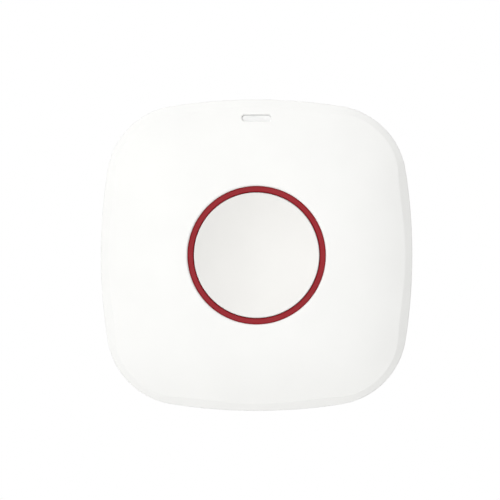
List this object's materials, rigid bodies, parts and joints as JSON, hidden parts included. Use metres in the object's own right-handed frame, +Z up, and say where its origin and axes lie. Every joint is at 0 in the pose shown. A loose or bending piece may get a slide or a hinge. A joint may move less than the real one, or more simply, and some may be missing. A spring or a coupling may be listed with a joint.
{
  "type": "panic button",
  "caption": "Wall-mounted wireless panic button: rounded-square domed housing, dished round cap in a red ring, slot window, hooked wall plate.",
  "frame": {"origin": "centre of the wall plate's back face, on the wall", "axes": "+X to the right as seen from the front, +Y into the wall, +Z up the wall; the cap faces -Y"},
  "size_m": [0.086, 0.0239, 0.086],
  "materials": {
    "front_shell": "fine satin moulding, warm white",
    "rear_shell": "fine satin moulding, warm white",
    "wall_plate": "plain moulding, warm white",
    "cap": "smooth satin",
    "ring": "smooth satin, dark red",
    "window": "milky, smooth",
    "carrier": "plain moulding, light grey",
    "tamper_pin": "plain moulding, light grey",
    "board": "green solder resist, satin",
    "black_moulding": "fine matt moulding",
    "key": "smooth satin",
    "spring_steel": "drawn, bright",
    "screw_steel": "zinc plated",
    "cell_steel": "polished",
    "plated_contact": "nickel plated",
    "tinned_steel": "tinned",
    "capacitor_can": "drawn",
    "chip_body": "ceramic",
    "lamp": "clear over yellowish"
  },
  "bodies": {
    "housing": {"front_cover": "front_shell", "rear_housing": "rear_shell", "mounting_plate": "wall_plate", "trim_ring": "ring", "light_pipe": "window", "button_frame": "carrier", "main_board": "board", "key_switch_base": "black_moulding", "tamper_switch_base": "black_moulding", "battery_holder": "black_moulding", "microcontroller": "black_moulding", "return_spring": "spring_steel", "tamper_spring": "spring_steel", "contact_dome": "spring_steel", "key_switch_plate": "spring_steel", "housing_screws": "screw_steel", "frame_screws": "screw_steel", "board_screws": "screw_steel", "lock_screw": "screw_steel", "battery_cell": "cell_steel", "positive_contact": "plated_contact", "negative_contact": "plated_contact", "key_switch_terminals": "plated_contact", "radio_shield": "tinned_steel", "antenna": "tinned_steel", "crystal": "tinned_steel", "bulk_capacitor": "capacitor_can", "board_passives": "chip_body", "indicator_lamp": "lamp"},
    "button": {"button_cap": "cap", "button_carrier": "carrier"},
    "key_plunger": {"key_switch_plunger": "key"},
    "tamper_pin": {"tamper_plunger": "tamper_pin", "tamper_switch_key": "key"}
  },
  "joints": [
    {"name": "button_press", "type": "slide", "parent": "housing", "child": "button", "axis": [0, 1, 0], "range_m": [0, 0.0012], "stiffness_N_per_m": 1000, "springref_m": -0.002, "deforming": ["return_spring"]},
    {"name": "key_press", "type": "slide", "parent": "housing", "child": "key_plunger", "axis": [0, 1, 0], "range_m": [0, 0.00025], "deforming": ["contact_dome"]},
    {"name": "tamper_release", "type": "slide", "parent": "housing", "child": "tamper_pin", "axis": [0, 1, 0], "range_m": [0, 0.0012], "stiffness_N_per_m": 150, "springref_m": 0.003, "deforming": ["tamper_spring"]}
  ],
  "couplings": [
    {"joint": "key_press", "follows": "button_press", "ratio": 0.20833}
  ]
}
